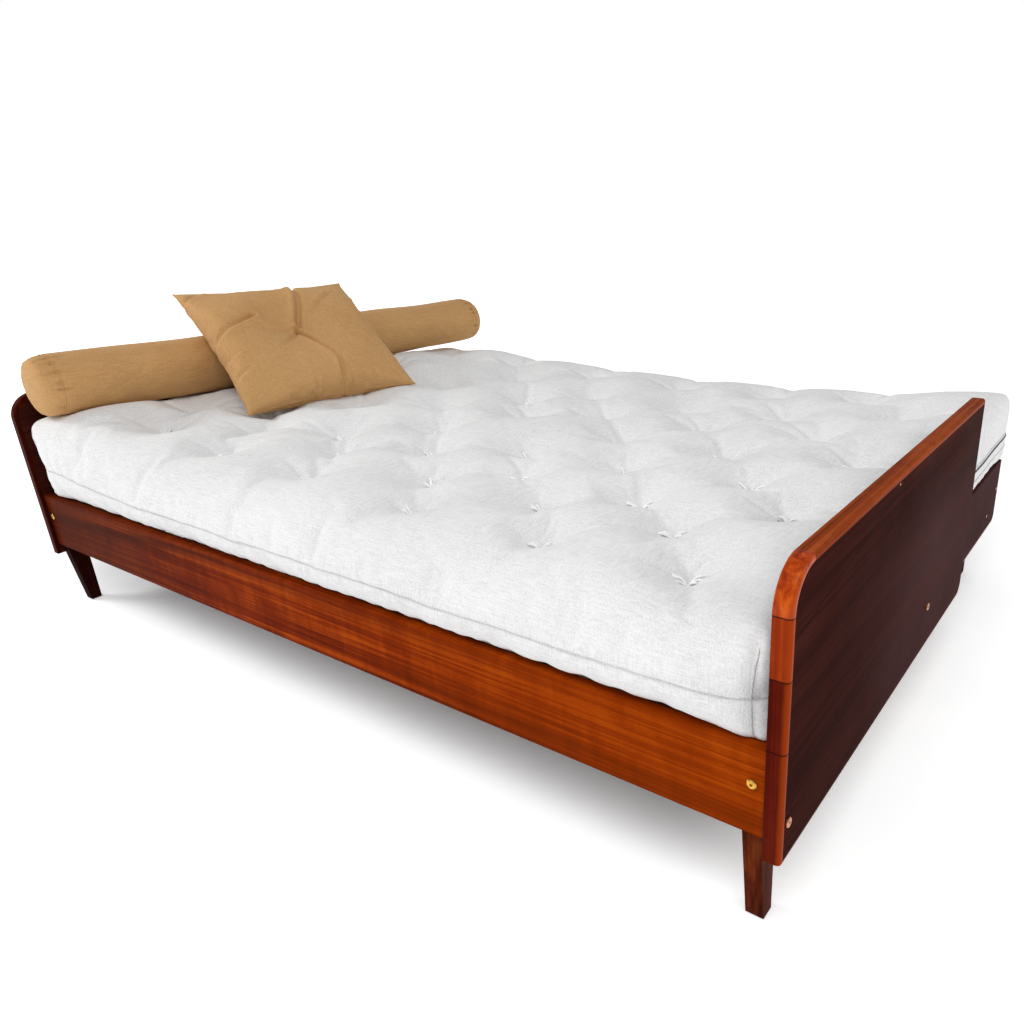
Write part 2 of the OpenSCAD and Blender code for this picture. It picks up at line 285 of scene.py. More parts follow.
class Nodes:
    """Short names for the nodes of one material."""

    def __init__(self, name):
        self.material = bpy.data.materials.new(name)
        self.material.use_nodes = True
        self.tree = self.material.node_tree
        self.shader = self.tree.nodes["Principled BSDF"]
        self.where = self.add("ShaderNodeTexCoord").outputs["Object"]

    def add(self, kind, **values):
        node = self.tree.nodes.new(kind)
        for k, v in values.items():
            setattr(node, k, v)
        return node

    def link(self, value, socket):
        if isinstance(value, bpy.types.NodeSocket):
            self.tree.links.new(value, socket)
        else:
            socket.default_value = value

    def stretch(self, scale, offset=(0, 0, 0)):
        node = self.add("ShaderNodeMapping")
        self.link(self.where, node.inputs["Vector"])
        node.inputs["Scale"].default_value = scale
        node.inputs["Location"].default_value = offset
        return node.outputs[0]

    def noise(self, scale, offset=(0, 0, 0), detail=3.0, rough=0.55, distortion=0.0):
        node = self.add("ShaderNodeTexNoise")
        self.link(self.stretch(scale, offset), node.inputs["Vector"])
        node.inputs["Scale"].default_value = 1.0
        node.inputs["Detail"].default_value = detail
        node.inputs["Roughness"].default_value = rough
        node.inputs["Distortion"].default_value = distortion
        return node.outputs["Fac"]

    def ramp(self, fac, *stops):
        node = self.add("ShaderNodeValToRGB")
        self.link(fac, node.inputs[0])
        r = node.color_ramp
        while len(r.elements) < len(stops):
            r.elements.new(0.5)
        for e, (p, c) in zip(r.elements, stops):
            e.position = p
            e.color = c if isinstance(c, tuple) else (c, c, c, 1)
        return node.outputs[0]

    def maths(self, how, a, b=0.0, c=0.0):
        node = self.add("ShaderNodeMath", operation=how)
        for v, s in zip((a, b, c), node.inputs):
            self.link(v, s)
        return node.outputs[0]

    def times(self, a, b):
        return self.maths("MULTIPLY", a, b)

    def less(self, a, b):
        return self.maths("SUBTRACT", a, b)

    def inverse(self, value):
        return self.less(1.0, value)

    def mix(self, fac, a, b):
        node = self.add("ShaderNodeMix", data_type="RGBA")
        self.link(fac, node.inputs[0])
        self.link(a, node.inputs[6])
        self.link(b, node.inputs[7])
        return node.outputs[2]

    def axis(self, which):
        node = self.add("ShaderNodeSeparateXYZ")
        self.link(self.where, node.inputs[0])
        return node.outputs[which]

    def band(self, value, lo, hi):
        """0 below lo, 1 above hi."""
        node = self.add("ShaderNodeMapRange", interpolation_type="SMOOTHSTEP")
        self.link(value, node.inputs[0])
        node.inputs[1].default_value, node.inputs[2].default_value = lo, hi
        return node.outputs[0]

    def bump(self, height, strength, distance, normal=None):
        node = self.add("ShaderNodeBump")
        self.link(height, node.inputs["Height"])
        node.inputs["Strength"].default_value = strength
        node.inputs["Distance"].default_value = distance
        if normal is not None:
            self.link(normal, node.inputs["Normal"])
        return node.outputs[0]

    def set(self, **values):
        for k, v in values.items():
            self.link(v, self.shader.inputs[k.replace("_", " ")])
        return self.material


def wood(name, grain, dark, mid, light, *, gloss, seed, figure, shine, coat=0.0, extra=None,
         streaks=60):
    """Varnished or bare wood. grain is the axis that its grain runs along, gloss its roughness,
    figure how much it is cross-figured and streaks how many streaks a metre of width has."""
    m = Nodes(name)

    def along(a, b):
        return tuple(a if i == grain else b for i in range(3))

    # from broad variation to single fibres, each with its scale along and across the grain
    off = (seed, seed * 0.7, seed * 0.4)
    warp = m.noise(along(0.9, 5), off, 2)
    broad = m.noise(along(0.55, streaks), off, 4, 0.6, 0.6)
    lines = m.noise(along(2.2, 170), off, 4, 0.65, 0.25)
    fibre = m.noise(along(26, 1500), off, 2, 0.6)
    figured = m.noise(along(34, 9), off, 3, 0.5, 0.4)
    tone = m.maths("MULTIPLY_ADD", lines, 0.42, m.times(broad, 0.62))
    tone = m.maths("MULTIPLY_ADD", warp, 0.16, tone)
    tone = m.maths("MULTIPLY_ADD", figured, figure * 0.35, tone)
    tone = m.maths("MULTIPLY_ADD", fibre, 0.10, tone)
    tone = m.less(tone, 0.17 + figure * 0.17)
    colour = m.ramp(tone, (0.30, dark), (0.47, mid), (0.66, light))
    pores = m.ramp(m.noise(along(48, 1900), (seed + 3, 0, 1), 2, 0.5), (0.30, 0.0), (0.38, 1.0))
    colour = m.mix(m.times(m.inverse(pores), 0.55), colour, dark)
    if extra:
        colour = extra(m, colour)
    height = m.maths("MULTIPLY_ADD", pores, 0.6, m.times(fibre, 0.35))
    wear = m.noise((7, 7, 7), off, 3)
    rough = m.maths("MULTIPLY_ADD", lines, 0.10, gloss - 0.12)
    rough = m.maths("MULTIPLY_ADD", wear, 0.16, rough)
    m.set(Base_Color=colour, Roughness=rough, Coat_Weight=coat, Coat_Roughness=0.1,
          Specular_IOR_Level=shine)
    m.set(Normal=m.bump(height, 0.22, 0.0004))
    return m.material


def cloth(name, base, dark, light, *, thread, weave, sheen, crease=0.0, turned=None):
    """Heathered linen: slubs along all three axes, so that each face shows a crossed weave. thread
    is the threads' scale, weave and crease the depths of the weave and of small puckers, and
    turned the rotation of a piece that isn't square to the frame."""
    m = Nodes(name)
    if turned:
        node = m.add("ShaderNodeMapping")
        m.link(m.where, node.inputs["Vector"])
        node.inputs["Rotation"].default_value = turned.inverted().to_euler()
        m.where = node.outputs[0]
    slubs = []
    for i in range(3):
        scale = tuple(30.0 if a == i else thread for a in range(3))
        slubs.append(m.noise(scale, (i * 3.1, i * 1.7, i * 5.3), 2, 0.55))
    crossed = m.maths("ADD", m.maths("ADD", slubs[0], slubs[1]), slubs[2])
    crossed = m.times(crossed, 1 / 3)
    cloudy = m.noise((5, 5, 5), (1, 2, 3), 3)
    tone = m.maths("MULTIPLY_ADD", m.less(cloudy, 0.5), 0.18, crossed)
    colour = m.ramp(tone, (0.38, dark), (0.50, base), (0.62, light))
    threads = []
    for i in range(3):
        node = m.add("ShaderNodeTexWave", bands_direction="XYZ"[i])
        m.link(m.stretch((600.0,) * 3), node.inputs["Vector"])
        node.inputs["Scale"].default_value = 0.32
        node.inputs["Distortion"].default_value = 1.2
        node.inputs["Detail Scale"].default_value = 0.4
        threads.append(node.outputs["Fac"])
    woven = m.times(m.maths("ADD", m.maths("ADD", threads[0], threads[1]), threads[2]), 1 / 3)
    small = m.noise((46, 46, 46), (4, 4, 4), 4, 0.6, 0.5)
    puckers = m.bump(small, crease, 0.0022)
    height = m.maths("MULTIPLY_ADD", crossed, 1.4, m.times(woven, 0.5))
    m.set(Base_Color=colour, Roughness=m.maths("MULTIPLY_ADD", crossed, 0.2, 0.75),
          Sheen_Weight=sheen, Sheen_Roughness=0.45, Specular_IOR_Level=0.2)
    m.set(Normal=m.bump(height, weave, 0.0009, puckers))
    return m.material


def metal(name, colour, worn, roughness):
    """Polished and a little tarnished."""
    m = Nodes(name)
    spots = m.noise((260, 260, 260), (0, 1, 2), 3)
    tarnish = m.noise((60, 60, 60), (5, 1, 2), 3)
    tone = m.maths("MULTIPLY_ADD", spots, 0.35, m.times(tarnish, 0.65))
    m.set(Base_Color=m.ramp(tone, (0.36, worn), (0.56, colour)), Metallic=1.0,
          Roughness=m.maths("MULTIPLY_ADD", tarnish, 0.25, roughness - 0.1))
    m.set(Normal=m.bump(spots, 0.15, 0.0003))
    return m.material


# ---------------------------------------------------------------- finishes of the CAD's own pieces

LIP_JOINTS = [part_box("foot_lip_" + part)[0].z for part in ("upper", "middle", "corner")]
LIP_ROUND = 0.9820, 0.9895  # where the outer round starts and ends, out from the bed's middle
LIP_TOP_ROUND = 0.515, 0.535


def lip_edge(m, colour):
    """The lipping's outer round carries a painted highlight, an orange band mixed into its colour,
    and its lengths meet in dark joint lines."""
    out = m.maths("ABSOLUTE", m.axis(ALONG_X))
    rough_edge = m.maths("MULTIPLY_ADD", m.noise((40, 40, 40), (0, 0, 0), 2), 0.0022, out)
    lower = m.inverse(m.band(m.axis(ALONG_Z), *LIP_TOP_ROUND))
    # painted highlight: below the top, the outer round is mixed towards orange where light catches
    # the edge
    painted_highlight = m.times(m.times(m.band(rough_edge, *LIP_ROUND), lower), 0.6)
    worn = m.mix(painted_highlight, colour, rgb(168, 64, 12))
    for height in LIP_JOINTS:
        away = m.maths("ABSOLUTE", m.less(m.axis(ALONG_Z), height))
        line = m.inverse(m.band(away, 0.0006, 0.0016))
        worn = m.mix(m.times(line, 0.8), worn, rgb(30, 6, 2))
    return worn


def rail_streak(m, colour):
    """A dark figure that runs down from under the top edge towards the head end, in wood that is
    browner at the head and more orange at the foot."""
    x, z = m.axis(ALONG_X), m.axis(ALONG_Z)
    to_head = m.times(x, -1.0)
    wave = m.times(m.noise((2.6, 1, 1), (7, 0, 0), 2), 0.016)
    middle = m.maths("MULTIPLY_ADD", m.band(to_head, 0.25, 0.98), -0.036, 0.268)
    away = m.maths("ABSOLUTE", m.less(z, m.maths("ADD", middle, wave)))
    inside = m.inverse(m.band(away, 0.002, 0.019))
    fade = m.maths("MULTIPLY_ADD", m.band(to_head, -0.9, 0.7), 0.75, 0.12)
    grainy = m.ramp(m.noise((3, 150, 150), (2, 0, 0), 3), (0.3, 0.35), (0.65, 1.0))
    dark = m.mix(m.times(m.times(inside, fade), grainy), colour, rgb(56, 19, 7))
    browner = m.mix(m.times(m.band(to_head, -0.1, 0.9), 0.8), dark, rgb(60, 19, 6))
    return m.mix(m.times(m.band(x, -0.2, 0.95), 0.30), browner, rgb(164, 66, 4))


# The veneer joint is the line JOINT_Y * y + JOINT_Z * z = JOINT_AT
JOINT_Y, JOINT_Z, JOINT_AT = -0.181, 0.983, 0.5712


def board_marks_sheen_and_highlight(m, colour):
    """A faint joint in the veneer that climbs to the rear, small pale knocks, a painted hazy sheen
    (a painted reflection) low on the board and a painted highlight along its bottom edge."""
    y, z = m.axis(ALONG_Y), m.axis(ALONG_Z)
    line = m.less(m.maths("MULTIPLY_ADD", y, JOINT_Y, m.times(z, JOINT_Z)), JOINT_AT)
    uneven = m.maths("MULTIPLY_ADD", m.noise((1, 20, 20), (0, 0, 0), 2), 0.002, line)
    seam = m.inverse(m.band(m.maths("ABSOLUTE", uneven), 0.0004, 0.0022))
    joined = m.mix(m.times(seam, 0.55), colour, rgb(22, 9, 8))
    knocks = m.ramp(m.noise((160, 160, 160), (3, 1, 4), 2), (0.74, 0.0), (0.78, 1.0))
    pale = m.mix(m.times(knocks, 0.25), joined, rgb(120, 80, 66))
    # painted reflection: a hazy purple-grey sheen mixed into the colour low on the board, from its
    # middle to its rear
    sheen = m.times(m.band(y, -0.62, -0.05), m.inverse(m.band(z, 0.34, 0.50)))
    cloudy = m.maths("MULTIPLY_ADD", m.noise((3, 3, 3), (0, 4, 0), 3), 0.6, 0.1)
    with_painted_sheen = m.mix(m.times(sheen, cloudy), pale, rgb(84, 56, 56))
    # painted highlight: a pale line mixed into the colour along the board's bottom edge
    low = m.inverse(m.band(z, 0.1355, 0.1380))
    return m.mix(m.times(low, 0.7), with_painted_sheen, rgb(176, 140, 120))


RAIL = wood("rail_mahogany", ALONG_X, rgb(46, 8, 0), rgb(120, 37, 2), rgb(186, 80, 10),
            gloss=0.36, seed=1.0, figure=0.5, shine=0.006, extra=rail_streak, streaks=22)
BOARD = wood("board_mahogany", ALONG_Y, rgb(28, 9, 6), rgb(47, 17, 13), rgb(66, 28, 21),
             gloss=0.42, seed=4.0, figure=0.2, shine=0.0015, extra=board_marks_sheen_and_highlight, streaks=14)
LIP_UP = wood("lipping_upright", ALONG_Z, rgb(44, 6, 1), rgb(76, 12, 2), rgb(108, 28, 5),
              gloss=0.30, seed=8.0, figure=0.3, shine=0.02, extra=lip_edge)
LIP_UPPER = wood("lipping_upper", ALONG_Z, rgb(84, 20, 3), rgb(132, 40, 6), rgb(166, 62, 12),
                 gloss=0.30, seed=8.5, figure=0.3, shine=0.03, extra=lip_edge)
LIP_CORNER = wood("lipping_corner", ALONG_Z, rgb(98, 22, 3), rgb(160, 54, 8), rgb(208, 92, 20),
                  gloss=0.20, seed=9.0, figure=0.4, shine=0.08, coat=0.07, extra=lip_edge)
LIP_TOP = wood("lipping_top", ALONG_Y, rgb(76, 24, 8), rgb(132, 56, 22), rgb(178, 88, 42),
               gloss=0.36, seed=10.0, figure=0.3, shine=0.006, extra=lip_edge)
LIP_HEAD = wood("lipping_head", ALONG_Z, rgb(28, 5, 2), rgb(56, 12, 4), rgb(88, 26, 8),
                gloss=0.32, seed=11.0, figure=0.3, shine=0.006, extra=lip_edge)
LEG = wood("leg_mahogany", ALONG_Z, rgb(44, 14, 5), rgb(82, 30, 11), rgb(120, 54, 22),
           gloss=0.38, seed=12.0, figure=0.25, shine=0.006)
# painted shade: a darker copy of the leg wood, for the legs that stand in shade
LEG_SHADED = wood("leg_mahogany_painted_shade", ALONG_Z, rgb(18, 5, 3), rgb(33, 10, 6), rgb(52, 18, 11),
                gloss=0.38, seed=15.0, figure=0.2, shine=0.002)
# slats, ledgers, bearers and leg blocks in a dark brown pine
PINE_Y = wood("slat_dark", ALONG_Y, rgb(40, 21, 11), rgb(68, 40, 22), rgb(96, 60, 35),
              gloss=0.6, seed=20.0, figure=0.1, shine=0.1, streaks=40)
PINE_X = wood("bearer_dark", ALONG_X, rgb(38, 20, 10), rgb(64, 37, 20), rgb(90, 56, 33),
              gloss=0.6, seed=24.0, figure=0.1, shine=0.1, streaks=40)
BRASS = metal("brass", rgb(232, 184, 84), rgb(150, 98, 34), 0.22)
COPPER = metal("copper", rgb(214, 150, 112), rgb(140, 84, 56), 0.28)

nylon = Nodes("glide_nylon")
mottled = nylon.noise((90, 90, 90))
NYLON = nylon.set(
    Base_Color=nylon.ramp(mottled, (0.4, rgb(196, 192, 182)), (0.6, rgb(222, 219, 210))),
    Roughness=nylon.maths("MULTIPLY_ADD", nylon.noise((300, 300, 300)), 0.2, 0.4))

# The finish of each CAD node, by the start of its name; the first that fits is taken
FINISH = [
    ("foot_board", BOARD), ("head_board", BOARD), ("extension_side", BOARD),
    ("foot_lip_corner", LIP_CORNER), ("head_lip_corner", LIP_HEAD),
    ("foot_lip_top", LIP_TOP), ("head_lip_top", LIP_TOP),
    ("foot_lip_upper", LIP_UPPER), ("foot_lip", LIP_UP), ("head_lip", LIP_HEAD),
    ("lip_pins", COPPER),
    ("front_rail", RAIL), ("extension_rear_rail", RAIL),
    # the head-end, middle and rear legs get the darker copy, a painted shade
    ("front_leg_head", LEG_SHADED), ("middle_leg", LEG_SHADED), ("rear_leg", LEG_SHADED),
    ("front_leg_foot", LEG),
    ("front_ledger", PINE_X), ("cross_bearer", PINE_X), ("extension_ledger", PINE_X),
    ("extension_bearer", PINE_X), ("leg_block", PINE_X),
    ("main_slat_screws", BRASS), ("extension_slat_screws", BRASS),
    ("main_slat", PINE_Y), ("extension_slat", PINE_Y),
    ("board_bolts", COPPER), ("rail_bolts", BRASS), ("extension_screws", COPPER),
    ("main_glides", NYLON), ("extension_glides", NYLON),
]
for node_name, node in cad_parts.items():
    for start_of_name, finish in FINISH:
        if node_name.startswith(start_of_name):
            node.data.materials.clear()
            node.data.materials.append(finish)
            break

FUTON = cloth("futon_linen", rgb(228, 228, 228), rgb(211, 211, 211), rgb(239, 239, 239),
              thread=520, weave=0.14, sheen=0.05, crease=0.08)
TAN_COLOURS = rgb(192, 148, 96), rgb(179, 135, 85), rgb(204, 160, 108)
TAN_WEAVE = dict(thread=620, weave=0.11, sheen=0.05, crease=0.06)
TAN = cloth("tan_linen", *TAN_COLOURS, **TAN_WEAVE)
THREAD = cloth("white_thread", rgb(252, 252, 252), rgb(236, 236, 236), rgb(255, 255, 255),
               thread=900, weave=0.4, sheen=0.1)
# grey cloth for the zip's teeth, and painted shade for the dark slits beside the ties
GREY_ZIP_AND_SHADE = cloth("grey_zip_and_painted_shade", rgb(88, 88, 88), rgb(64, 64, 64), rgb(120, 120, 120),
               thread=900, weave=0.4, sheen=0.0)
PIPING = cloth("seam_welt", rgb(202, 202, 202), rgb(180, 180, 180), rgb(222, 222, 222),
               thread=700, weave=0.6, sheen=0.1)

# ---------------------------------------------------------------- futon mattress

# Each tuft in mm from the foot board's outer face and from the rail's face, a row at a time
TUFTS = [
    (-213, 137), (-472, 132), (-761, 136), (-1089, 166), (-1388, 164), (-1682, 198),
    (-317, 272), (-575, 263), (-842, 260), (-1161, 307), (-1468, 314), (-1775, 330),
    (-184, 413), (-431, 357), (-714, 363), (-990, 403), (-1278, 399), (-1590, 425),
    (-306, 525), (-560, 503), (-805, 497), (-1112, 543), (-1453, 597), (-1760, 590),
    (-179, 717), (-435, 670), (-690, 682), (-1015, 745), (-1272, 708), (-1600, 740),
    (-317, 868), (-571, 840), (-843, 839), (-1126, 881), (-1430, 895), (-1750, 900),
    (-194, 1095), (-450, 1004), (-703, 988), (-1006, 1005), (-1320, 1070), (-1635, 1120),
    (-330, 1240), (-580, 1225), (-850, 1222), (-1150, 1235), (-1470, 1250), (-1780, 1255),
]
TUFTS = [at(x, y) for x, y in TUFTS]
CELLS = (172, 125, 16)
LOWER_SEAM, UPPER_SEAM = 4, 7  # the rows of cells that the border's two seams lie on
CORNER_COLUMN = 2  # how many cells in from each end its corner seams run
SEAM_X = {1: 0.939, -1: -0.921}  # where the front's two corner seams are, by end
ROOM_X = {1: 0.9643, -1: 0.9600}  # how far out the mattress may reach, by end
BOLSTER_SINK = 0.009
BOLSTER_FRONT = -0.708


def bolster_lift(y):
    """How far the bolster's front end stands up on the mattress's full corner."""
    return 0.020 * smoothstep((-0.22 - y) / 0.48) - 0.004


def settle(co):
    """The loft of the long-used mattress: low along its rear, and high at the head end."""
    # millimetres from the foot board's outer face and the rail's face
    x = (co[:, 0] - FOOT_X) * 1000
    y = (co[:, 1] - FACE_Y) * 1000
    rear = np.interp(x, [-1950, -1783, -1600, -1414, -1150, -885, -569, -401, -250, -87, -20],
                     [8, 13, 10, -4, -15, -22, -20, -12, -11, 7, 16])
    front = np.interp(x, [-1950, -1850, -1600, -1100, -600, -60], [24, 20, 8, 0, 0, 2])
    near_head = smoothstep((-0.60 - co[:, 0]) / 0.26) * smoothstep((600 - y) / 500)
    t = smoothstep((y - 250) / 1150)
    high = np.clip((co[:, 2] - SLAT_TOP) / 0.165, 0, 1.1)
    out = co.copy()
    loft = front * (1 - t) + rear * t
    out[:, 2] += (loft + near_head * np.maximum(0, 46 - loft)) / 1000 * high
    # the front corner at the head end leans out over the rail
    out[:, 1] -= 0.014 * smoothstep((-0.78 - co[:, 0]) / 0.14) * high * smoothstep((120 - y) / 120)
    return out


def make_mattress():
    """The cover, and the lines that its seams follow."""
    n = CELLS
    lo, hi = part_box("mattress")
    lo = np.array(lo) + (-0.006, 0.006, 0)
    hi = np.array(hi) - (0.002, 0.008, 0.020)
    pts, faces = box_lattice(n)
    high = rounded(pts, n, lo, hi, (0.018, 0.018, 0.040))
    low = rounded(pts, n, lo, hi, (0.018, 0.011, 0.020))
    flat = np.where((pts[:, 2] < n[2] / 2)[:, None], low, high)
    i, j, k = pts.T
    top = k == n[2]
    # the stitches hold the tufts down, and the slats hold the underside flat
    start = flat.copy()
    pins = {}
    for c in TUFTS:
        d = np.hypot(flat[:, 0] - c[0], flat[:, 1] - c[1])
        start[top, 2] -= 0.034 * np.exp(-((d[top] / 0.052) ** 1.4))
        pins.update({int(v): 1.0 for v in np.where(top & (d < 0.011))[0]})
    from_wall = (hi - lo)[:2] / 2 - np.abs(flat[:, :2] - (lo + hi)[:2] / 2)
    inner = (k == 0) & (from_wall[:, 0] > 0.011) & (from_wall[:, 1] > 0.008)
    pins.update({int(v): 1.0 for v in np.where(inner)[0]})
    wall = (i == 0) | (i == n[0]) | (j == 0) | (j == n[1])
    on_seam = wall & (k == UPPER_SEAM)
    seam = {int(v): 1.0 for v in np.where(on_seam)[0]}
    o = new_mesh("mattress_cover", start, faces)
    co = capped(start, simulate(o, 18, pins, flat, 4.5, 0.020, seam, -0.004), 0.034)
    co = settle(co)
    # the end boards hold the ends, and the slats the underside
    soft = 0.006
    for end, room in ROOM_X.items():
        over = np.maximum(end * co[:, 0] - (room - soft), 0)
        co[:, 0] -= end * (over - soft * (1 - np.exp(-over / soft)))
    inward = (lo + hi)[:2] / 2 - co[on_seam, :2]
    co[on_seam, :2] += inward * 0.0018 / np.linalg.norm(inward, axis=1)[:, None]
    co[:, 2] = np.maximum(co[:, 2], SLAT_TOP + 0.0003)
    # under the bolster the loft is pressed flat, and it rises again either side and in front
    bolster_lo, bolster_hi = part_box("bolster")
    away = np.abs(co[:, 0] - (bolster_lo.x + bolster_hi.x) / 2)
    limit = bolster_lo.z + BOLSTER_SINK - 0.001 + bolster_lift(co[:, 1])
    limit += np.maximum(0, away - 0.035) * 0.55
    limit += 0.03 * smoothstep((BOLSTER_FRONT - 0.004 - co[:, 1]) / 0.02)
    upper = co[:, 2] > SLAT_TOP + 0.1
    co[upper, 2] = np.minimum(co[upper, 2], limit[upper])
    set_co(o, co)
    place = {tuple(p): m for m, p in enumerate(pts.astype(int))}
    lines = {}
    for level in (LOWER_SEAM, UPPER_SEAM):
        lines[level] = [co[place[(a, b, level)]] for a, b in border(n)]
    corners = [(a, b) for a in (n[0] - CORNER_COLUMN, CORNER_COLUMN) for b in (0, n[1])]
    lines["corners"] = [[co[place[(a, b, c)]] for c in range(n[2])] for a, b in corners]
    apply_subdivision(o)
    return o, lines


def tuft_folds(c):
    """The folds at one tuft: four run towards its nearest tufts and five short ones anywhere. Each
    has its direction, length and depth."""
    others = [(math.dist(q, c), math.atan2(q[1] - c[1], q[0] - c[0])) for q in TUFTS if q != c]
    others.sort()
    folds = [(a, rng.uniform(0.10, 0.16), rng.uniform(0.0042, 0.0068)) for _, a in others[:4]]
    turn = rng.uniform(0, 2 * math.pi)
    for m in range(5):
        folds.append((turn + m * 2.4, rng.uniform(0.035, 0.075), rng.uniform(0.0028, 0.0048)))
    return folds


def crease_top(o):
    """Sharp folds that the stitches and seams draw in, finer than the simulated mesh."""
    co = get_co(o)
    top = co[:, 2] > SLAT_TOP + 0.085
    p = co[top]
    drop = np.zeros(len(p))
    for c in TUFTS:
        d = p[:, :2] - c
        r = np.hypot(d[:, 0], d[:, 1])
        near = r < 0.17
        dn, rn = d[near], r[near]
        angle = np.arctan2(dn[:, 1], dn[:, 0])
        got = np.zeros(len(dn))
        for a, length, deep in tuft_folds(c):
            curl = rng.uniform(-4.0, 4.0)
            bend = (angle - a - curl * rn + math.pi) % (2 * math.pi) - math.pi
            across = bend * rn
            width = 0.0040 + 0.045 * rn
            fall = smoothstep((length - rn) / (length * 0.8)) * smoothstep(rn / 0.008)
            got += deep * np.exp(-((across / width) ** 2)) * fall * (np.cos(bend) > 0)
        got += 0.006 * np.exp(-((rn / 0.0085) ** 2))
        drop[near] += got
    co[top, 2] -= drop
    # gathers along the front: folds that run down to the seam, strongest towards the head
    front = co[:, 1] < FACE_Y + 0.06
    x, z = co[front, 0], co[front, 2]
    phase = 2 * math.pi * (x / 0.062 + 0.35 * np.sin(x * 7) + 0.22 * np.sin(x * 17 + 1) + z * 1.8)
    near_seam = smoothstep((z - 0.300) / 0.02) * smoothstep((0.455 - z) / 0.05)
    strong = 0.35 + 0.65 * smoothstep((-0.05 - x) / 0.5)
    gather = (0.5 + 0.5 * np.cos(phase)) ** 2 * (0.6 + 0.4 * np.sin(x * 4.1))
    co[front, 1] += 0.0034 * strong * near_seam * gather
    # the corner seams pull the cloth in, with short creases either side
    for end, seam_x in SEAM_X.items():
        across = end * (x - seam_x)
        pull = 0.0040 * np.exp(-((across / 0.006) ** 2))
        ripple = 0.0035 * np.exp(-(((across - 0.012) / 0.018) ** 2))
        ripple *= (0.5 + 0.5 * np.cos(z * 2 * math.pi / 0.021 + 2)) ** 2
        low = smoothstep((0.37 - z) / 0.04)
        co[front, 1] += (pull + ripple * (0.3 + 0.7 * low)) * smoothstep((0.44 - z) / 0.02)
    set_co(o, co)


mattress, seam_lines = make_mattress()
crease_top(mattress)
mattress.data.materials.append(FUTON)
mattress_tree = tree_of(mattress)
welts, welt_normals = [], []
for level in (UPPER_SEAM, LOWER_SEAM):
    line, normals = on_surface(mattress_tree, seam_lines[level], 0.0006)
    # the zip under the upper seam, and the lower seam, are on the rear and the foot side only
    keep = [m for m, p in enumerate(line) if p.y > 0.60 or p.x > 0.93 and p.y > -0.62]
    if level == UPPER_SEAM:
        teeth = [line[m] + 0.008 * DOWNWARD for m in keep]
        teeth, teeth_normals = on_surface(mattress_tree, teeth, 0.0010)
        zipper = tube("mattress_zip", [teeth], 0.0019, 6, 0.7, [teeth_normals])
        zipper.data.materials.append(GREY_ZIP_AND_SHADE)
    else:
        line, normals = [line[m] for m in keep], [normals[m] for m in keep]
    welts.append(line)
    welt_normals.append(normals)
for column in seam_lines["corners"]:
    line, normals = on_surface(mattress_tree, column, 0.0004)
    welts.append(line)
    welt_normals.append(normals)
seams = tube("mattress_seams", welts, 0.0012, 6, 0.8, welt_normals)
seams.data.materials.append(PIPING)

tie_lines, shade_slit_lines = [], []
for c in TUFTS:
    base = mattress_tree.ray_cast(Vector((*c, 1.0)), DOWNWARD)[0] + 0.0022 * UPWARD
    turn = rng.uniform(-0.5, 0.5)
    for m in range(rng.integers(5, 8)):
        a = turn + (0 if m % 2 else math.pi) + rng.uniform(-0.7, 0.7)
        tie_lines.append(strand(base, a, rng.uniform(0.014, 0.029), rng.uniform(0.003, 0.009)))
    # painted shade: two short dark grey strands beside each tie stand for the shadowed slit where
    # the ties go into the cover
    for m in range(2):
        a = turn + m * math.pi + rng.uniform(-0.3, 0.3)
        off = Vector((-math.sin(a) * 0.003, math.cos(a) * 0.003 - 0.003, 0.001))
        shade_slit_lines.append(strand(base + off, a, rng.uniform(0.012, 0.022), 0.0005, 0.16))
    round_knot = np.linspace(0, 2 * math.pi, 9)
    knot = [base + 0.001 * Vector((3 * math.cos(q), 3 * math.sin(q), 2 + math.sin(2 * q)))
            for q in round_knot]
    knot[-1] = knot[0]
    tie_lines.append(knot)
ties = tube("mattress_ties", tie_lines, 0.0019, 5)
ties.data.materials.append(THREAD)
shade_slits = tube("mattress_shade_slits", shade_slit_lines, 0.0017, 5)
shade_slits.data.materials.append(GREY_ZIP_AND_SHADE)

# ---------------------------------------------------------------- bolster


